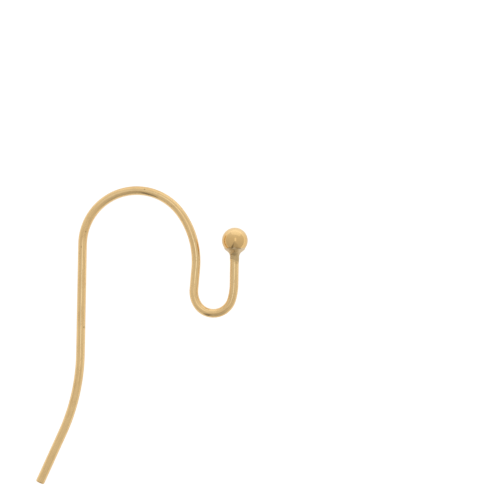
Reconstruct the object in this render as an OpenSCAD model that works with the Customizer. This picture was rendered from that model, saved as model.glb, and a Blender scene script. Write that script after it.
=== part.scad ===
// Ball-end ear wire: one bent round wire with a ball soldered to its end.
// It lies as it rests by itself, on the ball, the tail's end and the side of the crown.
// The shank runs along +Y, the ball end is on the +X side and the surface is at z = 0.

/* [Wire] */
// Diameter of the round wire
wire_d = 0.7; // [0.5:0.01:0.9]
// Rounding of the tail's cut edge
tail_round = 0.1; // [0.05:0.01:0.2]

/* [Back of the hook] */
// Length of the straight tail that goes through the ear
tail_l = 4.3; // [2:0.1:8]
// Angle that the tail leans away from the shank
tail_lean = 23.5; // [8:0.5:40]
// Centreline radius of the bend between tail and shank
tail_bend_r = 16; // [8:0.5:24]
// Length of the straight shank behind the ear
shank_l = 8.65; // [5:0.05:14]

/* [Arch] */
// Centreline radius of the crown that sits in the piercing
crown_r = 4.3; // [3:0.1:6]
// Angle that the crown turns through before it flattens
crown_angle = 143; // [120:1:160]
// Centreline radius of the flatter flank down the front
flank_r = 6.5; // [5:0.1:10]
// Angle that the foot of the flank leans back towards the shank
flank_lean = 4; // [0:0.5:10]
// Length of the straight at the foot of the flank
flank_foot_l = 1.65; // [0.5:0.05:4]

/* [Charm loop] */
// Centreline radius of the loop's first, wider bend
loop_in_r = 2; // [1.5:0.1:4]
// Angle of the loop's first bend
loop_in_angle = 32; // [15:1:50]
// Centreline radius of the bottom of the loop
loop_r = 1.5; // [1:0.05:3]
// Centreline radius of the loop's last, widest bend
loop_out_r = 4.5; // [2:0.1:8]
// Angle of the loop's last bend
loop_out_angle = 16; // [5:1:30]
// Length of the straight limb between the loop and the solder
limb_l = 2.15; // [1:0.05:5]

/* [Ball end] */
// Diameter of the ball
ball_d = 2.05; // [1.5:0.05:3]
// Radius of the hollow curve of solder between wire and ball
solder_r = 0.6; // [0.2:0.02:0.8]

/* [Hidden] */
$fn = 96;

wire_r = wire_d / 2;
ball_r = ball_d / 2;
// Every second run of the wire is this much thinner in radius, and reaches this far into the runs
// before and after it, so that neighbours overlap and fuse without faces that nearly coincide
run_step = 0.004;
run_lap = 0.05;
// The solder's circle sinks this far into the ball, so that the two meet at a clean corner
solder_sink = 0.01;
// Height from the ball's centre down to where the solder runs out on the wire
solder_reach = sqrt(pow(ball_r + solder_r, 2) - pow(wire_r + solder_r, 2)) - solder_sink;
flank_angle = 180 + flank_lean - crown_angle;
loop_angle = 180 + flank_lean - loop_in_angle - loop_out_angle;

// Runs of the wire, from the tail to the solder. A straight has its length and no turn. A bend has
// its centreline radius and its turn in degrees, to the left where that is positive.
SIZE = 0;
TURN = 1;
RUNS = [
    [tail_l - tail_round, 0],
    [tail_bend_r, tail_lean],
    [shank_l, 0],
    [crown_r, -crown_angle],
    [flank_r, -flank_angle],
    [flank_foot_l, 0],
    [loop_in_r, loop_in_angle],
    [loop_r, loop_angle],
    [loop_out_r, loop_out_angle],
    [limb_l + solder_reach, 0]
];
CROWN = 3;

// Pose [x, y, heading] of the flat centreline at the share u of a run that starts at pose p
function along(p, run, u) =
    run[TURN] == 0
        ? [p.x + u * run[SIZE] * cos(p.z), p.y + u * run[SIZE] * sin(p.z), p.z]
        : let (r = run[SIZE] * sign(run[TURN]), h = p.z + u * run[TURN])
          [p.x + r * (sin(h) - sin(p.z)), p.y - r * (cos(h) - cos(p.z)), h];

// Poses where the runs from number i on start, and where the last one ends at the ball's centre
function run_poses(i, p) =
    i == len(RUNS) ? [p] : concat([p], run_poses(i + 1, along(p, RUNS[i], 1)));

TAIL_START = [0, 0, 90 - tail_lean];
POSES = run_poses(0, TAIL_START);
BALL = POSES[len(RUNS)];

// Poses along the whole centreline, one for each degree of a bend
SPINE = [
    for (i = [0:len(RUNS) - 1])
        let (steps = max(1, ceil(abs(RUNS[i][TURN]))))
        for (k = [0:steps])
            along(POSES[i], RUNS[i], k / steps)
];

// The hook rests on the line that touches the tail's start and the left of the crown, and on the
// ball, so its plane is turned up about that line by the angle that brings the ball down to z = 0.
crown_centre = [POSES[CROWN].x + crown_r, POSES[CROWN].y];
rest_heading = atan2(crown_centre.y, crown_centre.x) + asin(crown_r / norm(crown_centre));
function out_from_rest_line(p) = p.x * sin(rest_heading) - p.y * cos(rest_heading);
rest_tilt = asin((ball_r - wire_r) / out_from_rest_line(BALL));

// Where a point or a direction [x, y] of the flat hook comes to in the resting one, seen from above
function laid(p) =
    let (out = out_from_rest_line(p))
    [p.x, p.y] - out * (1 - cos(rest_tilt)) * [sin(rest_heading), -cos(rest_heading)];

// How far the resting hook reaches along the level direction d: its wire, its tail's end, its ball
function wire_reach(p, d, r) =
    laid(p) * d + r * sqrt(1 - pow(laid([cos(p.z), sin(p.z)]) * d, 2));
function reach(d) = max(concat(
    [for (p = SPINE) wire_reach(p, d, wire_r)],
    [wire_reach(TAIL_START, d, wire_r - tail_round) + tail_round],
    [laid(BALL) * d + ball_r]
));
centre = [reach([1, 0]) - reach([-1, 0]), reach([0, 1]) - reach([0, -1])] / 2;

// The tail's cut end, with its edge rounded, from y = -tail_round to y = 0
module tail_end() {
    rotate([-90, 0, 0])
        translate([0, 0, -tail_round])
            rotate_extrude() {
                square([wire_r - tail_round, tail_round]);
                intersection() {
                    translate([wire_r - tail_round, tail_round])
                        circle(r = tail_round);
                    square([wire_r, tail_round]);
                }
            }
}

// A straight stretch of wire along +Y, drawn past both ends by lap
module straight(length, r, lap) {
    translate([0, -lap, 0])
        rotate([-90, 0, 0])
            cylinder(r = r, h = length + 2 * lap);
}

// A bend that starts at the origin along +Y, drawn past both ends by lap
module bend(radius, turn, r, lap) {
    lap_angle = sign(turn) * lap / radius * 180 / PI;
    translate([-sign(turn) * radius, 0, 0])
        rotate_extrude(angle = turn + 2 * lap_angle, start = (turn > 0 ? 0 : 180) - lap_angle)
            translate([radius, 0])
                circle(r = r);
}

// The ball at the origin, with the hollow curve of solder that runs out on a wire from below
module ball_end() {
    rotate([-90, 0, 0])
        rotate_extrude() {
            intersection() {
                circle(r = ball_r);
                translate([0, -ball_r])
                    square([ball_r, ball_d]);
            }
            difference() {
                polygon([[0, 0], [0, -solder_reach], [wire_r + solder_r, -solder_reach]]);
                translate([wire_r + solder_r, -solder_reach])
                    circle(r = solder_r);
            }
        }
}

// The wire from run i on, with the ball at its end. It starts at the origin along +Y.
module wire_from(i) {
    if (i < len(RUNS)) {
        size = RUNS[i][SIZE];
        turn = RUNS[i][TURN];
        thin = i % 2;
        r = wire_r - thin * run_step;
        lap = thin * run_lap;
        if (turn == 0) {
            straight(size, r, lap);
            translate([0, size, 0])
                wire_from(i + 1);
        } else {
            bend(size, turn, r, lap);
            translate([-sign(turn) * size, 0, 0])
                rotate([0, 0, turn])
                    translate([sign(turn) * size, 0, 0])
                        wire_from(i + 1);
        }
    } else {
        ball_end();
    }
}

module ear_wire() {
    color([0.86, 0.72, 0.5])
        translate([-centre.x, -centre.y, wire_r])
            rotate(-rest_tilt, [cos(rest_heading), sin(rest_heading), 0])
                rotate([0, 0, -tail_lean]) {
                    tail_end();
                    wire_from(0);
                }
}

ear_wire();
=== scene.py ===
import math

import bmesh
import bpy
from mathutils import Matrix, Vector


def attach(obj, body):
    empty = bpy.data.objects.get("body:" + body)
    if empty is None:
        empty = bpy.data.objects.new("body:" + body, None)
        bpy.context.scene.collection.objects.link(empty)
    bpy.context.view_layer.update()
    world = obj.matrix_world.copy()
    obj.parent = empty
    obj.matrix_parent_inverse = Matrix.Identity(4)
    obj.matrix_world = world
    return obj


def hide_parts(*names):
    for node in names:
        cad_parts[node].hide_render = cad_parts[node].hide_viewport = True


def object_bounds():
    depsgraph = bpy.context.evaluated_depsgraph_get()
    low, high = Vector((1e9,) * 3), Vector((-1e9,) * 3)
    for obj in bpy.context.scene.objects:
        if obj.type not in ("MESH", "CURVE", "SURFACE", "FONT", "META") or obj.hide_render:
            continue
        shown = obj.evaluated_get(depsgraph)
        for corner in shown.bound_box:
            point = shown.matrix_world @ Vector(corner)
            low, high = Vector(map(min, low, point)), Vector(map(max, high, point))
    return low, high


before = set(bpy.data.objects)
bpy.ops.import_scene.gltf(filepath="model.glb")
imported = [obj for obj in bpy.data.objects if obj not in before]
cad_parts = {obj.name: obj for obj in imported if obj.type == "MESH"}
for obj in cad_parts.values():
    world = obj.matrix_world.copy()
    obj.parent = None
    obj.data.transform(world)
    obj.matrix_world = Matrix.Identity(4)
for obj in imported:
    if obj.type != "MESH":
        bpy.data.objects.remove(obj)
cad_low, cad_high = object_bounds()

MM = 0.001

# Sizes of the wire, in millimetres, and its bends, in degrees. The radii of the wire and the ball
# are 2 to 3 micrometres under the drawn ones, so that the skin stays inside the CAD solid's box.
WIRE_R = 0.3475
CUT_EDGE_ROUND = 0.1
TAIL_L, TAIL_LEAN, TAIL_BEND_R = 4.3, 23.5, 16.0
SHANK_L = 8.65
CROWN_R, CROWN_ANGLE = 4.3, 143.0
FLANK_R, FLANK_LEAN, FLANK_FOOT_L = 6.5, 4.0, 1.65
LOOP_IN_R, LOOP_IN_ANGLE = 2.0, 32.0
LOOP_R = 1.5
LOOP_OUT_R, LOOP_OUT_ANGLE = 4.5, 16.0
BALL_R = 1.023
# Length of the limb from the loop to the ball's centre
LIMB_TO_BALL_L = 3.458
# The solder: its hollow curve, and the thicknesses of its film on the limb and on the ball's foot
SOLDER_R = 0.5
FILM, FILM_EDGE_L, FILM_L = 0.015, 0.04, 0.345
COLLAR_FILM, COLLAR_EDGE_L, COLLAR_DEPTH = 0.03, 0.03, 0.62
# How far below the ball's centre the solder has its lower ledge and its brown patch
LEDGE_DEPTH, BROWN_DEPTH = 1.12, 0.9
# How far round the loop's bend a charm hangs, as a share of the bend
CHARM_SHARE = 0.55

START_HEADING = math.radians(90 - TAIL_LEAN)
FLANK_ANGLE = 180 + FLANK_LEAN - CROWN_ANGLE
LOOP_ANGLE = 180 + FLANK_LEAN - LOOP_IN_ANGLE - LOOP_OUT_ANGLE
NECK_R = WIRE_R + FILM
COLLAR_R = BALL_R + COLLAR_FILM
SOLDER_REACH = math.sqrt((COLLAR_R + SOLDER_R) ** 2 - (NECK_R + SOLDER_R) ** 2)
LIMB_L = LIMB_TO_BALL_L - SOLDER_REACH
# How far below the ball's equator the hollow curve, the collar and the bare ball begin
SOLDER_LEAN = math.atan2(SOLDER_REACH, NECK_R + SOLDER_R)
COLLAR_LEAN = math.asin((COLLAR_DEPTH + COLLAR_EDGE_L) / COLLAR_R)
BALL_LEAN = math.asin(COLLAR_DEPTH / BALL_R)

# The jig's runs from the tail to the limb: length and no turn for a straight, centreline radius and
# turn for a bend, to the left where the turn is positive
JIG = (
    (TAIL_L - CUT_EDGE_ROUND, 0),
    (TAIL_BEND_R, TAIL_LEAN),
    (SHANK_L, 0),
    (CROWN_R, -CROWN_ANGLE),
    (FLANK_R, -FLANK_ANGLE),
    (FLANK_FOOT_L, 0),
    (LOOP_IN_R, LOOP_IN_ANGLE),
    (LOOP_R, LOOP_ANGLE),
    (LOOP_OUT_R, LOOP_OUT_ANGLE),
    (LIMB_L, 0),
)
# Which of these runs, counted from 0, are the shank, the crown, the flank's foot and the loop
SHANK, CROWN, FOOT, LOOP = 2, 3, 5, 7

# Finishes of the metal, in the order of the skin's materials
WIRE, BALL = range(2)

# How finely the skin is drawn
SIDES = 64
RING_GAP = 0.1
EDGE_STEPS = 6
SOLDER_STEPS = 12
COLLAR_STEPS = 8
BALL_STEPS = 40
MERGE_GAP = 1e-5

# The photograph's frame: its side in pixels, how long one is on the hook, the angle that the shank
# leans to the right in it, and what it has in the middle, in millimetres from the hook's own
PICTURE_SIDE = 500
MM_PER_PIXEL = 0.07914
SHANK_LEAN_IN_PICTURE = 1.045
MIDDLE_OF_VIEW = (8.3936, 6.9748)
# The camera's lens, the nearest thing it shows, in metres, and its height, from which a pixel has
# that length halfway up the wire
LENS, SENSOR = 200.0, 36.0
NEAREST_SEEN = 0.01
WIRE_MID_HEIGHT = 0.6
CAMERA_HEIGHT = WIRE_MID_HEIGHT + PICTURE_SIDE * MM_PER_PIXEL * LENS / SENSOR

# Light and its table: glows as luminance, where white to the camera is 1, headings in degrees from
# +X towards +Y, and places and sizes in metres
TABLE_R, TABLE_SIDES = 0.5, 96
TABLE_GREY, TABLE_ROUGHNESS = 0.35, 0.35
TABLE_GLOW_SEEN, TABLE_GLOW = 0.85, 0.62
SKY_HEADING = 82
SKY_BEHIND, SKY_AHEAD, SKY_SEEN = 0.59, 0.83, 1.0
WINDOW_HEADING, WINDOW_DISTANCE, WINDOW_HEIGHT = 80, 0.4, 0.15
WINDOW_SIZE, WINDOW_GLOW = (0.56, 0.3), 0.17
TOP_LIGHT, TOP_LIGHT_AIM = (0.03, 0.043, 0.229), (0.03, 0.007, 0)
TOP_LIGHT_SIZE, TOP_LIGHT_GLOW = (0.06, 0.127), 0.3

# Dark wedges in the sky, which widen from the zenith down: the heading of each one, its length for
# each unit of half its width, and how much it darkens the sky, and then how soft their edges are
DARK_WEDGES = (
    (276, 1.6, 0.11),
    (248, 6.0, 0.31),
)
WEDGE_EDGE = 0.3

# Colours of the metal: the wire, the painted highlight along its top, its tarnish, which also
# paints the shade next to that highlight, metal that has been red hot, the ball on its solder side
# and its far half painted brighter as painted light, the solder, and the dark oxide in pits and
# scratches
WIRE_GOLD = (0.93, 0.655, 0.32, 1)
PAINTED_HIGHLIGHT = (1, 0.785, 0.445, 1)
TARNISH_AND_PAINTED_SHADE = (0.62, 0.38, 0.15, 1)
HEATED = (0.64, 0.46, 0.23, 1)
BALL_GOLD = (0.825, 0.545, 0.23, 1)
PAINTED_LIGHT_GOLD = (1, 0.72, 0.365, 1)
SOLDER = (0.77, 0.605, 0.385, 1)
OXIDE = (0.33, 0.185, 0.06, 1)

WIRE_ROUGHNESS = 0.13
BALL_ROUGHNESS = 0.1

# Directions of the scuffs: how their pattern is turned, in radians, and scaled along each axis
SCUFFS = (
    ((0.5, 0.2, 0), (5, 5, 0.9)),
    ((1.1, 0.3, 0.4), (4, 6, 0.7)),
    ((1.5, 0, 0.9), (6, 6, 1.0)),
)

# Dark specks on the top of the photographed wire: place along it, place to the right of its
# middle, half of the speck's width and half of its length
SPECKS = (
    (12.82, 0.28, 0.14, 0.1),
    (19.18, -0.05, 0.05, 0.1),
    (20.43, 0.14, 0.07, 0.07),
    (26.73, -0.13, 0.07, 0.08),
)


def run_length(size, turn):
    """Length of a run of the jig along the wire."""
    return size if turn == 0 else size * math.radians(abs(turn))


def start_of(run):
    """How far along the wire a run of the jig starts."""
    return sum(run_length(*earlier) for earlier in JIG[:run])


# Places along the wire, from the tail's full section
WIRE_L = start_of(len(JIG))
SHANK_MIDDLE = start_of(SHANK) + SHANK_L / 2
CROWN_TOP = start_of(CROWN) + CROWN_R * math.pi / 2
FLANK_END = start_of(FOOT)
CHARM_SEAT = start_of(LOOP) + run_length(*JIG[LOOP]) * CHARM_SHARE
FILM_START = WIRE_L - FILM_L
BALL_AT = WIRE_L + SOLDER_REACH
BALL_FOOT = BALL_AT - COLLAR_DEPTH
SOLDER_LEDGE = BALL_AT - LEDGE_DEPTH
SOLDER_BROWN = BALL_AT - BROWN_DEPTH

# Painted highlight lines along the top of the wire, where the light's reflection runs: the middle
# of each one along the wire and its reach from there, its place to the right of the wire's middle,
# and how much it brightens the wire
PAINTED_HIGHLIGHT_LINES = (
    (SHANK_MIDDLE, 6.0, 0.02, 1.0),
    (CROWN_TOP, 5.0, -0.05, 0.5),
    (FLANK_END - 1, 2.6, -0.02, 1.0),
    (WIRE_L - 2, 2.2, 0.01, 1.0),
)


def moved_along(place, heading, size, turn, length):
    """Point and heading on the flat centreline a length into a run that starts at place."""
    if turn == 0:
        return place + length * Vector((math.cos(heading), math.sin(heading))), heading
    radius = math.copysign(size, turn)
    onward = heading + length / radius
    chord = Vector((math.sin(onward) - math.sin(heading), math.cos(heading) - math.cos(onward)))
    return place + radius * chord, onward


def jig_pose(along):
    """Point and heading of the flat centreline, at a length from the tail's full section."""
    place, heading = Vector((0, 0)), START_HEADING
    for size, turn in JIG[:-1]:
        length = run_length(size, turn)
        if along <= length:
            return moved_along(place, heading, size, turn, along)
        place, heading = moved_along(place, heading, size, turn, length)
        along -= length
    return moved_along(place, heading, *JIG[-1], along)


def outline(mesh):
    """Half of the straight wire's outline in the XZ plane, with its ball: Z runs along the wire."""
    def last_vert(made):
        return next(g for g in made["geom_last"] if isinstance(g, bmesh.types.BMVert))

    def arc(vert, steps, angle, centre):
        made = bmesh.ops.spin(mesh, geom=[vert], cent=centre, axis=(0, 1, 0), dvec=(0, 0, 0),
                              angle=angle, steps=steps, use_merge=False, use_duplicate=False)
        return last_vert(made)

    def line(vert, steps, move):
        made = bmesh.ops.spin(mesh, geom=[vert], cent=(0, 0, 0), axis=(0, 1, 0), dvec=move,
                              angle=0, steps=steps, use_merge=False, use_duplicate=False)
        return last_vert(made)

    def side(vert, length):
        steps = math.ceil(length / RING_GAP)
        return line(vert, steps, (0, 0, length / steps))

    cut = bmesh.ops.create_vert(mesh, co=(0, 0, -CUT_EDGE_ROUND))["vert"][0]
    rim = line(cut, 1, (WIRE_R - CUT_EDGE_ROUND, 0, 0))
    tail = arc(rim, EDGE_STEPS, -math.pi / 2, (WIRE_R - CUT_EDGE_ROUND, 0, 0))
    film = side(tail, FILM_START)
    film_top = line(film, 2, (FILM / 2, 0, FILM_EDGE_L / 2))
    solder = side(film_top, FILM_L - FILM_EDGE_L)
    seat = arc(solder, SOLDER_STEPS, SOLDER_LEAN, (NECK_R + SOLDER_R, 0, WIRE_L))
    collar = arc(seat, COLLAR_STEPS, COLLAR_LEAN - SOLDER_LEAN, (0, 0, BALL_AT))
    inward = BALL_R * math.cos(BALL_LEAN) - COLLAR_R * math.cos(COLLAR_LEAN)
    foot = line(collar, 2, (inward / 2, 0, COLLAR_EDGE_L / 2))
    arc(foot, BALL_STEPS, -(math.pi / 2 + BALL_LEAN), (0, 0, BALL_AT))


def turned(mesh):
    """Turns the half outline round the wire's axis into one closed skin."""
    bmesh.ops.spin(mesh, geom=mesh.verts[:] + mesh.edges[:], cent=(0, 0, 0), axis=(0, 0, 1),
                   dvec=(0, 0, 0), angle=2 * math.pi, steps=SIDES, use_merge=True,
                   use_duplicate=False)
    bmesh.ops.remove_doubles(mesh, verts=mesh.verts[:], dist=MERGE_GAP)
    bmesh.ops.recalc_face_normals(mesh, faces=mesh.faces[:])


def finishes(mesh):
    """Gives the ball's faces their own finish, by their place along the straight wire."""
    for face in mesh.faces:
        face.material_index = BALL if face.calc_center_median().z > BALL_FOOT else WIRE


def bent_over_jig(mesh):
    """Bends the straight wire, and keeps each point's straight place for its finish."""
    straight = mesh.verts.layers.float_vector.new("straight_wire")
    for v in mesh.verts:
        v[straight] = v.co
        centre, heading = jig_pose(v.co.z)
        across = Vector((math.sin(heading), -math.cos(heading), 0))
        v.co = centre.to_3d() + v.co.x * across + v.co.y * Vector((0, 0, 1))


def laid_down(mesh):
    """Lays the flat hook on its ball, tail and crown, inside the box of the CAD solid."""
    crown = jig_pose(start_of(CROWN))[0] + Vector((CROWN_R, 0))
    rest_heading = math.atan2(crown.y, crown.x) + math.asin(CROWN_R / crown.length)
    rest_line = Vector((math.cos(rest_heading), math.sin(rest_heading), 0))
    ball = jig_pose(BALL_AT)[0]
    ball_out = ball.x * rest_line.y - ball.y * rest_line.x
    tilt = math.asin((BALL_R - WIRE_R) / ball_out)
    laid = Matrix.Rotation(-tilt, 4, rest_line)
    bmesh.ops.transform(mesh, matrix=laid, verts=mesh.verts[:])
    bmesh.ops.scale(mesh, vec=(MM, MM, MM), verts=mesh.verts[:])
    low = Vector([min(v.co[k] for v in mesh.verts) for k in range(3)])
    high = Vector([max(v.co[k] for v in mesh.verts) for k in range(3)])
    shift = (cad_low + cad_high - low - high) / 2
    shift.z = cad_low.z - low.z
    bmesh.ops.translate(mesh, vec=shift, verts=mesh.verts[:])


def hook():
    mesh = bmesh.new()
    outline(mesh)
    turned(mesh)
    finishes(mesh)
    bent_over_jig(mesh)
    laid_down(mesh)
    data = bpy.data.meshes.new("ear_wire_skin")
    mesh.to_mesh(data)
    mesh.free()
    data.shade_smooth()
    piece = bpy.data.objects.new("ear_wire_skin", data)
    bpy.context.scene.collection.objects.link(piece)
    return piece


def feed(tree, socket, value):
    """Links a socket to another one, or sets it where the value is a plain one."""
    if isinstance(value, bpy.types.NodeSocket):
        tree.links.new(value, socket)
    else:
        socket.default_value = value


def maths(tree, operation, *values):
    node = tree.nodes.new("ShaderNodeMath")
    node.operation = operation
    for socket, value in zip(node.inputs, values):
        feed(tree, socket, value)
    return node.outputs["Value"]


def step(tree, value, low, high, to_low=0.0, to_high=1.0):
    """A smooth step from to_low to to_high, while the value goes from low to high."""
    node = tree.nodes.new("ShaderNodeMapRange")
    node.interpolation_type = "SMOOTHSTEP"
    feed(tree, node.inputs["Value"], value)
    node.inputs["From Min"].default_value = low
    node.inputs["From Max"].default_value = high
    node.inputs["To Min"].default_value = to_low
    node.inputs["To Max"].default_value = to_high
    return node.outputs["Result"]


def fade(tree, value, low, high):
    """1 up to low, and down to 0 at high."""
    return step(tree, value, low, high, 1, 0)


def near(tree, value, middle, reach, full):
    """1 round a middle, up to a full share of the reach, and down to 0 at the reach."""
    off = maths(tree, "ABSOLUTE", maths(tree, "SUBTRACT", value, middle))
    return fade(tree, maths(tree, "DIVIDE", off, reach), full, 1)


def wandering(tree, value, drift, amount):
    """The value, moved to and fro by a noise, by up to half of the amount."""
    return maths(tree, "MULTIPLY_ADD", maths(tree, "SUBTRACT", drift, 0.5), amount, value)


def blend(tree, share, first, second):
    """The colour that lies a share of the way from the first to the second."""
    node = tree.nodes.new("ShaderNodeMix")
    node.data_type = "RGBA"
    for socket, value in zip([s for s in node.inputs if s.enabled], (share, first, second)):
        feed(tree, socket, value)
    return next(s for s in node.outputs if s.enabled)


def stretched(tree, place, scale, turn=(0, 0, 0)):
    """The place, turned and then scaled along each axis, for a texture that is drawn out."""
    node = tree.nodes.new("ShaderNodeMapping")
    feed(tree, node.inputs["Vector"], place)
    node.inputs["Rotation"].default_value = turn
    node.inputs["Scale"].default_value = scale
    return node.outputs["Vector"]


def noise(tree, place, scale, detail=2.0, roughness=0.5):
    node = tree.nodes.new("ShaderNodeTexNoise")
    feed(tree, node.inputs["Vector"], place)
    feed(tree, node.inputs["Scale"], scale)
    node.inputs["Detail"].default_value = detail
    node.inputs["Roughness"].default_value = roughness
    return node.outputs["Fac"]


def parts(tree, vector):
    """The X, Y and Z of a vector. On the straight wire, they are right, up and along."""
    node = tree.nodes.new("ShaderNodeSeparateXYZ")
    feed(tree, node.inputs["Vector"], vector)
    return node.outputs["X"], node.outputs["Y"], node.outputs["Z"]


def cells(tree, place, scale, feature="F1"):
    node = tree.nodes.new("ShaderNodeTexVoronoi")
    node.feature = feature
    feed(tree, node.inputs["Vector"], place)
    feed(tree, node.inputs["Scale"], scale)
    return node.outputs


def effect(name, inputs, outputs):
    """An empty shader effect: its group, the sockets that come in and the ones to feed."""
    group = bpy.data.node_groups.new(name, "ShaderNodeTree")
    group.interface.new_socket("Place", in_out="INPUT", socket_type="NodeSocketVector")
    for label, value in inputs.items():
        socket = group.interface.new_socket(label, in_out="INPUT", socket_type="NodeSocketFloat")
        socket.default_value = value
    for label in outputs:
        group.interface.new_socket(label, in_out="OUTPUT", socket_type="NodeSocketFloat")
    start = group.nodes.new("NodeGroupInput")
    end = group.nodes.new("NodeGroupOutput")
    return group, start.outputs, end.inputs


def use(tree, group, place, **settings):
    """Puts an effect into a material, and gives its outputs."""
    node = tree.nodes.new("ShaderNodeGroup")
    node.node_tree = group
    feed(tree, node.inputs["Place"], place)
    for label, value in settings.items():
        feed(tree, node.inputs[label], value)
    return node.outputs


def drawn_lines():
    """Lines that the drawing die leaves along the wire, deeper in some stretches, and the dark
    that settles in the deepest ones. Fine and Broad are heights in millimetres."""
    group, given, wanted = effect("drawn_lines", {"Fine": 0.0005, "Broad": 0.002},
                                  ("Height", "Dark"))
    fine = noise(group, stretched(group, given["Place"], (1, 1, 0.03)), 14, detail=3,
                 roughness=0.6)
    broad = noise(group, stretched(group, given["Place"], (1, 1, 0.06)), 4, detail=1)
    stretch = noise(group, stretched(group, given["Place"], (0.2, 0.2, 0.5)), 1, detail=1)
    depth = step(group, stretch, 0.35, 0.65, to_low=0.4, to_high=1.3)
    low = maths(group, "MULTIPLY", broad, given["Broad"])
    both = maths(group, "MULTIPLY_ADD", fine, given["Fine"], low)
    feed(group, wanted["Height"], maths(group, "MULTIPLY", both, depth))
    groove = fade(group, fine, 0.38, 0.47)
    feed(group, wanted["Dark"], maths(group, "MULTIPLY", groove, depth))
    return group


def scuffs():
    """Hair-fine scratches from wear and storage, in three directions and in patches."""
    group, given, wanted = effect("scuffs", {"Width": 0.03, "Share": 0.5}, ("Mask",))
    patches = noise(group, given["Place"], 1.1)
    shown = maths(group, "LESS_THAN", patches, given["Share"])
    found = 0.0
    for turn, scale in SCUFFS:
        edge = cells(group, stretched(group, given["Place"], scale, turn), 0.8, "DISTANCE_TO_EDGE")
        off = maths(group, "DIVIDE", edge["Distance"], given["Width"])
        found = maths(group, "MAXIMUM", found, fade(group, off, 0, 1))
    feed(group, wanted["Mask"], maths(group, "MULTIPLY", found, shown))
    return group


def round_marks(group, given, full, reach):
    """Round marks in some of a pattern's cells, from their middles to their reach."""
    found = cells(group, given["Place"], given["Size"])
    rare = maths(group, "LESS_THAN", found["Color"], given["Share"])
    return maths(group, "MULTIPLY", fade(group, found["Distance"], full, reach), rare)


def dings():
    """Shallow round dents of different sizes."""
    group, given, wanted = effect("dings", {"Size": 2.0, "Share": 0.4}, ("Depth",))
    feed(group, wanted["Depth"], round_marks(group, given, 0.05, 0.33))
    return group


def pits():
    """Pinpricks where the plating has failed, dark inside."""
    group, given, wanted = effect("pits", {"Size": 1.3, "Share": 0.6}, ("Mask",))
    feed(group, wanted["Mask"], round_marks(group, given, 0.03, 0.065))
    return group


def speck():
    """A single dark speck, at a place along the wire, right of its middle and up from it."""
    group, given, wanted = effect("speck", {"Along": 0.0, "Right": 0.0, "Up": 0.0, "Width": 0.1,
                                            "Length": 0.1}, ("Mask",))
    right, up, along = parts(group, given["Place"])
    off = 0.0
    for value, middle, reach in ((right, "Right", "Width"), (up, "Up", "Width"),
                                 (along, "Along", "Length")):
        aside = maths(group, "SUBTRACT", value, given[middle])
        aside = maths(group, "DIVIDE", aside, given[reach])
        off = maths(group, "MULTIPLY_ADD", aside, aside, off)
    feed(group, wanted["Mask"], fade(group, off, 0.1, 1))
    return group


def tarnish():
    """Clouds of thin tarnish, streaked a little along the wire."""
    group, given, wanted = effect("tarnish", {"Size": 1.2}, ("Film",))
    cloud = noise(group, stretched(group, given["Place"], (1, 1, 0.35)), given["Size"], detail=4,
                  roughness=0.6)
    feed(group, wanted["Film"], step(group, cloud, 0.42, 0.72))
    return group


def rubbed():
    """Where the wire is rubbed: a stretch round a middle, on the side that Side points to."""
    group, given, wanted = effect("rubbed", {"Middle": 0.0, "Reach": 1.0, "Side": 1.0},
                                  ("Mask",))
    right, _, along = parts(group, given["Place"])
    stretch = near(group, along, given["Middle"], given["Reach"], full=0.3)
    side = step(group, maths(group, "MULTIPLY", right, given["Side"]), 0, WIRE_R)
    feed(group, wanted["Mask"], maths(group, "MULTIPLY", stretch, side))
    return group


def painted_highlight_line():
    """A fine painted highlight line along the top of the wire, round a middle, and painted shade on
    both sides of it. It wanders."""
    group, given, wanted = effect("painted_highlight_line", {"Middle": 0.0, "Reach": 1.0, "Right": 0.0,
                                                     "Width": 0.045}, ("Mask", "Painted shade"))
    right, up, along = parts(group, given["Place"])
    stretch = near(group, along, given["Middle"], given["Reach"], full=0.5)
    above = maths(group, "MULTIPLY", stretch, step(group, up, 0, WIRE_R))
    drift = noise(group, stretched(group, given["Place"], (0, 0, 0.25)), 1, detail=1)
    aside = wandering(group, right, drift, 0.16)
    aside = maths(group, "SUBTRACT", aside, given["Right"])
    off = maths(group, "DIVIDE", maths(group, "ABSOLUTE", aside), given["Width"])
    feed(group, wanted["Mask"], maths(group, "MULTIPLY", fade(group, off, 0.3, 1), above))
    painted_shade = maths(group, "MULTIPLY", step(group, off, 1, 1.6), fade(group, off, 2.5, 4))
    feed(group, wanted["Painted shade"], maths(group, "MULTIPLY", painted_shade, above))
    return group


def heat_stain():
    """Metal dulled by the torch, between two places along the wire, with wavy edges. Slant is how
    much lower along the wire the stain lies for each step to the right."""
    group, given, wanted = effect("heat_stain", {"From": 0.0, "To": 1.0, "Slant": 0.0},
                                  ("Mask", "Lumps"))
    right, _, along = parts(group, given["Place"])
    along = wandering(group, along, noise(group, given["Place"], 2.2, detail=3), 0.22)
    along = maths(group, "MULTIPLY_ADD", right, given["Slant"], along)
    begun = step(group, maths(group, "SUBTRACT", along, given["From"]), -0.03, 0.03)
    left = step(group, maths(group, "SUBTRACT", given["To"], along), -0.03, 0.03)
    stain = maths(group, "MULTIPLY", begun, left)
    feed(group, wanted["Mask"], stain)
    lumps = noise(group, given["Place"], 3.5)
    feed(group, wanted["Lumps"], maths(group, "MULTIPLY", stain, lumps))
    return group


def tide_line():
    """A short dark line across the wire, where flux or solder stopped. It wanders and swells."""
    group, given, wanted = effect("tide_line", {"At": 0.0, "Middle": 0.0, "Reach": 0.3,
                                                "Width": 0.05}, ("Mask",))
    right, _, along = parts(group, given["Place"])
    along = wandering(group, along, noise(group, given["Place"], 3), 0.1)
    line = near(group, along, given["At"], given["Width"], full=0.2)
    short = near(group, right, given["Middle"], given["Reach"], full=0.5)
    feed(group, wanted["Mask"], maths(group, "MULTIPLY", line, short))
    return group


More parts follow.
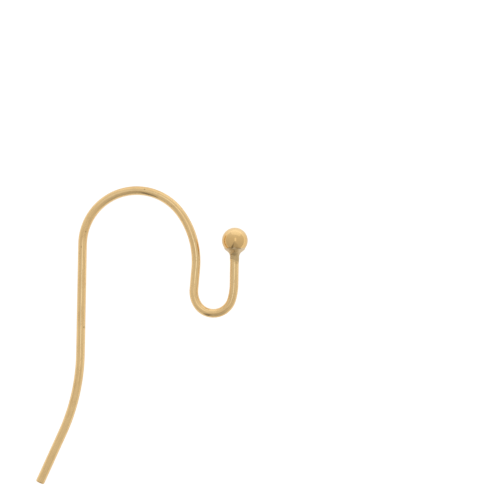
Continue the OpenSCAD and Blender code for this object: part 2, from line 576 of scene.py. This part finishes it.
def clipped_end():
    """The tail's cut: its face and rounded edge, dull and marked by the clippers."""
    group, given, wanted = effect("clipped_end", {"Edge": -0.02}, ("Mask", "Ridges"))
    _, _, along = parts(group, given["Place"])
    along = wandering(group, along, noise(group, given["Place"], 6), 0.08)
    mask = fade(group, maths(group, "SUBTRACT", along, given["Edge"]), -0.04, 0.04)
    feed(group, wanted["Mask"], mask)
    ridges = noise(group, stretched(group, given["Place"], (1, 0.1, 1)), 22, detail=1)
    feed(group, wanted["Ridges"], maths(group, "MULTIPLY", mask, ridges))
    return group


def metal(name):
    """A new bare metal with its tree and shader, and where its points lie on the straight wire."""
    material = bpy.data.materials.new(name)
    material.use_nodes = True
    tree = material.node_tree
    shader = tree.nodes["Principled BSDF"]
    shader.inputs["Metallic"].default_value = 1
    place = tree.nodes.new("ShaderNodeAttribute")
    place.attribute_name = "straight_wire"
    return material, tree, shader.inputs, place.outputs["Vector"]


def bumped(tree, height):
    """The normal of a relief whose height is in millimetres."""
    bump = tree.nodes.new("ShaderNodeBump")
    bump.inputs["Distance"].default_value = MM
    feed(tree, bump.inputs["Height"], height)
    return bump.outputs["Normal"]


def painted(tree, ground, *layers):
    """A ground colour under layers: each one's mask, the share of it that shows, its colour."""
    for mask, share, colour in layers:
        ground = blend(tree, maths(tree, "MULTIPLY", mask, share), ground, colour)
    return ground


def heaped(tree, ground, *layers):
    """A roughness or a height with layers on it: each one's mask and what it adds."""
    for mask, amount in layers:
        ground = maths(tree, "MULTIPLY_ADD", mask, amount, ground)
    return ground


def foot_lines(tree, effects, place, left_width):
    """The dark lines to the left and the right on the ball's foot, where the solder stopped."""
    left = use(tree, effects["tide_line"], place, At=BALL_FOOT, Middle=-0.29, Reach=0.24,
               Width=left_width)
    right = use(tree, effects["tide_line"], place, At=BALL_FOOT, Middle=0.32, Reach=0.26)
    return maths(tree, "MAXIMUM", left["Mask"], right["Mask"])


def painted_highlight_lines(tree, effects, place):
    """The painted highlight lines along the top of the wire, and the painted shade next to them."""
    painted_light, painted_shade = 0.0, 0.0
    for middle, reach, right, share in PAINTED_HIGHLIGHT_LINES:
        painted_line = use(tree, effects["painted_highlight_line"], place, Middle=middle, Reach=reach, Right=right)
        painted_light = maths(tree, "MAXIMUM", painted_light, maths(tree, "MULTIPLY", painted_line["Mask"], share))
        painted_shade = maths(tree, "MAXIMUM", painted_shade, painted_line["Painted shade"])
    return painted_light, painted_shade


def dark_specks(tree, effects, place):
    """Pinpricks all over the wire, and the specks that the photograph shows."""
    dark = use(tree, effects["pits"], place)["Mask"]
    for along, right, width, length in SPECKS:
        up = math.sqrt(WIRE_R ** 2 - right ** 2)
        spot = use(tree, effects["speck"], place, Along=along, Right=right, Up=up, Width=width,
                   Length=length)
        dark = maths(tree, "MAXIMUM", dark, spot["Mask"])
    return dark


def wire_gold(effects):
    material, tree, shader, place = metal("wire_gold")
    scratch = use(tree, effects["scuffs"], place)["Mask"]
    dent = use(tree, effects["dings"], place)["Depth"]
    lines = use(tree, effects["drawn_lines"], place)
    # Painted highlight lines along the wire's top, with painted shade next to them
    painted_light, painted_shade = painted_highlight_lines(tree, effects, place)
    dark = dark_specks(tree, effects, place)
    cut = use(tree, effects["clipped_end"], place)
    # The piercing rubs the crown's inside, and a charm's ring the loop's
    seat = use(tree, effects["rubbed"], place, Middle=CROWN_TOP, Reach=4.0, Side=1.0)["Mask"]
    hung = use(tree, effects["rubbed"], place, Middle=CHARM_SEAT, Reach=1.4, Side=-1.0)["Mask"]
    kept = maths(tree, "MULTIPLY_ADD", maths(tree, "MAXIMUM", seat, hung), -0.8, 1.0)
    film = maths(tree, "MULTIPLY", use(tree, effects["tarnish"], place)["Film"], kept)
    # The torch has dulled the end of the limb, and solder covers it from the ledge on
    heat = use(tree, effects["heat_stain"], place, From=FILM_START + 0.06, To=BALL_AT, Slant=0.4)
    solder = use(tree, effects["heat_stain"], place, From=SOLDER_LEDGE, To=BALL_AT)["Mask"]
    brown = use(tree, effects["tide_line"], place, At=SOLDER_BROWN, Middle=-0.02, Reach=0.5,
                Width=0.6)["Mask"]
    ledge = use(tree, effects["tide_line"], place, At=SOLDER_LEDGE, Middle=-0.1, Reach=0.35)
    edge = use(tree, effects["tide_line"], place, At=FILM_START - 0.12, Middle=0.25, Reach=0.28,
               Width=0.14)
    tide = maths(tree, "MAXIMUM", ledge["Mask"], maths(tree, "MULTIPLY", edge["Mask"], 0.4))
    tide = maths(tree, "MAXIMUM", tide, foot_lines(tree, effects, place, left_width=0.05))
    colour = painted(tree, WIRE_GOLD,
                     (film, 0.28, TARNISH_AND_PAINTED_SHADE),
                     (lines["Dark"], 0.42, TARNISH_AND_PAINTED_SHADE),
                     # Painted shade next to the painted highlight lines, then the painted
                     # highlights themselves
                     (painted_shade, 0.12, TARNISH_AND_PAINTED_SHADE),
                     (painted_light, 1, PAINTED_HIGHLIGHT),
                     (scratch, 0.12, OXIDE),
                     (dark, 0.6, OXIDE),
                     (cut["Mask"], 0.3, OXIDE),
                     (heat["Mask"], 1, HEATED),
                     (solder, 1, blend(tree, brown, SOLDER, HEATED)),
                     (tide, 0.55, OXIDE))
    dull = heaped(tree, WIRE_ROUGHNESS, (film, 0.08), (scratch, 0.12), (hung, 0.08),
                  (cut["Mask"], 0.2), (heat["Mask"], 0.25))
    relief = heaped(tree, lines["Height"], (scratch, -0.0008), (dent, -0.0016), (dark, -0.004),
                    (cut["Ridges"], 0.006), (heat["Lumps"], 0.02), (tide, -0.006))
    feed(tree, shader["Base Color"], colour)
    feed(tree, shader["Roughness"], dull)
    feed(tree, shader["Normal"], bumped(tree, relief))
    return material


def ball_gold(effects):
    material, tree, shader, place = metal("ball_gold")
    film = use(tree, effects["tarnish"], place, Size=1.0)["Film"]
    scratch = use(tree, effects["scuffs"], place, Width=0.02, Share=0.45)["Mask"]
    dent = use(tree, effects["dings"], place, Size=3.0, Share=0.3)["Depth"]
    dark = use(tree, effects["pits"], place, Size=2.0)["Mask"]
    ripple = noise(tree, place, 5)
    # The ball's far half, away from the solder, is painted brighter: painted light on the side the
    # light falls from
    _, _, along = parts(tree, place)
    painted_light = step(tree, along, BALL_AT + 0.15, BALL_AT + 0.95)
    heat = use(tree, effects["heat_stain"], place, From=WIRE_L, To=BALL_FOOT + 0.02)
    tide = foot_lines(tree, effects, place, left_width=0.08)
    colour = painted(tree, BALL_GOLD,
                     # Painted light: the ball's far half is painted brighter
                     (painted_light, 1, PAINTED_LIGHT_GOLD),
                     (film, 0.18, TARNISH_AND_PAINTED_SHADE),
                     (scratch, 0.12, OXIDE),
                     (dark, 0.6, OXIDE),
                     (heat["Mask"], 1, SOLDER),
                     (tide, 0.85, OXIDE))
    dull = heaped(tree, BALL_ROUGHNESS, (film, 0.05), (scratch, 0.12), (heat["Mask"], 0.22))
    relief = heaped(tree, 0.0, (ripple, 0.003), (scratch, -0.0008), (dent, -0.004),
                    (dark, -0.004), (heat["Lumps"], 0.02), (tide, -0.008))
    feed(tree, shader["Base Color"], colour)
    feed(tree, shader["Roughness"], dull)
    feed(tree, shader["Normal"], bumped(tree, relief))
    return material


def to_lens(tree, seen, unseen):
    """A value that is one thing to the camera and another to all that the light meets."""
    path = tree.nodes.new("ShaderNodeLightPath")
    pick = tree.nodes.new("ShaderNodeMix")
    feed(tree, pick.inputs["Factor"], path.outputs["Is Camera Ray"])
    feed(tree, pick.inputs["A"], unseen)
    feed(tree, pick.inputs["B"], seen)
    return pick.outputs["Result"]


def table():
    """A satin table with a glow of its own, which is burnt out to white to the camera."""
    mesh = bmesh.new()
    bmesh.ops.create_circle(mesh, cap_ends=True, segments=TABLE_SIDES, radius=TABLE_R)
    data = bpy.data.meshes.new("table")
    mesh.to_mesh(data)
    mesh.free()
    piece = bpy.data.objects.new("table", data)
    bpy.context.scene.collection.objects.link(piece)
    material = bpy.data.materials.new("white_table")
    material.use_nodes = True
    tree = material.node_tree
    shader = tree.nodes["Principled BSDF"]
    shader.inputs["Base Color"].default_value = (TABLE_GREY, TABLE_GREY, TABLE_GREY, 1)
    shader.inputs["Roughness"].default_value = TABLE_ROUGHNESS
    shader.inputs["Emission Color"].default_value = (1, 1, 1, 1)
    glow = to_lens(tree, TABLE_GLOW_SEEN, TABLE_GLOW)
    feed(tree, shader.inputs["Emission Strength"], glow)
    data.materials.append(material)


def soft_light(name, place, aim, size, glow):
    """A soft box that glows evenly towards its aim, and that the camera doesn't see."""
    light = bpy.data.lights.new(name, "AREA")
    light.shape = "RECTANGLE"
    light.size, light.size_y = size
    light.energy = glow * math.pi * math.prod(size)
    lamp = bpy.data.objects.new(name, light)
    lamp.location = place
    lamp.rotation_euler = (Vector(aim) - Vector(place)).to_track_quat("-Z", "Y").to_euler()
    lamp.visible_camera = False
    bpy.context.scene.collection.objects.link(lamp)


def towards(tree, direction, heading):
    """The parts of a direction towards a heading and to the left of it."""
    turn = tree.nodes.new("ShaderNodeMapping")
    turn.inputs["Rotation"].default_value.z = -math.radians(heading)
    feed(tree, turn.inputs["Vector"], direction)
    onward, left, _ = parts(tree, turn.outputs["Vector"])
    return onward, left


def dark_wedge(tree, direction, heading, narrowness):
    """How far a direction in the sky lies inside a wedge towards a heading."""
    onward, left = towards(tree, direction, heading)
    aside = maths(tree, "ABSOLUTE", left)
    return step(tree, maths(tree, "MULTIPLY_ADD", aside, -narrowness, onward), 0, WEDGE_EDGE)


def studio():
    """A soft room, brighter ahead and with dark wedges, a window ahead and a soft box overhead."""
    world = bpy.data.worlds.new("studio")
    bpy.context.scene.world = world
    world.use_nodes = True
    tree = world.node_tree
    back = tree.nodes["Background"]
    direction = tree.nodes.new("ShaderNodeTexCoord").outputs["Generated"]
    ahead = tree.nodes.new("ShaderNodeMapRange")
    ahead.inputs["From Min"].default_value = -1
    ahead.inputs["To Min"].default_value = SKY_BEHIND
    ahead.inputs["To Max"].default_value = SKY_AHEAD
    feed(tree, ahead.inputs["Value"], towards(tree, direction, SKY_HEADING)[0])
    glow = ahead.outputs["Result"]
    for heading, narrowness, shade in DARK_WEDGES:
        wedge = dark_wedge(tree, direction, heading, narrowness)
        glow = maths(tree, "MULTIPLY_ADD", wedge, -shade, glow)
    back.inputs["Color"].default_value = (1, 1, 1, 1)
    feed(tree, back.inputs["Strength"], to_lens(tree, SKY_SEEN, glow))
    turn = Matrix.Rotation(math.radians(WINDOW_HEADING), 4, "Z")
    window = turn @ Vector((WINDOW_DISTANCE, 0, WINDOW_HEIGHT))
    soft_light("window", window, (0, 0, WINDOW_HEIGHT), WINDOW_SIZE, WINDOW_GLOW)
    soft_light("top_light", TOP_LIGHT, TOP_LIGHT_AIM, TOP_LIGHT_SIZE, TOP_LIGHT_GLOW)
    bpy.context.scene.view_settings.view_transform = "Standard"


def camera():
    """Looks straight down, so that the hook is as large and lies as in the photograph."""
    data = bpy.data.cameras.new("camera")
    data.lens = LENS
    data.sensor_width = SENSOR
    data.clip_start = NEAREST_SEEN
    piece = bpy.data.objects.new("camera", data)
    piece.location = MM * Vector((*MIDDLE_OF_VIEW, CAMERA_HEIGHT))
    piece.rotation_euler.z = math.radians(SHANK_LEAN_IN_PICTURE)
    bpy.context.scene.collection.objects.link(piece)
    bpy.context.scene.camera = piece


ear_wire = hook()
EFFECTS = {group.name: group for group in (drawn_lines(), scuffs(), dings(), pits(), speck(),
                                           tarnish(), rubbed(), painted_highlight_line(), heat_stain(),
                                           tide_line(), clipped_end())}
for finish in (wire_gold(EFFECTS), ball_gold(EFFECTS)):
    ear_wire.data.materials.append(finish)
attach(ear_wire, "root")
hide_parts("ear_wire")
table()
studio()
camera()
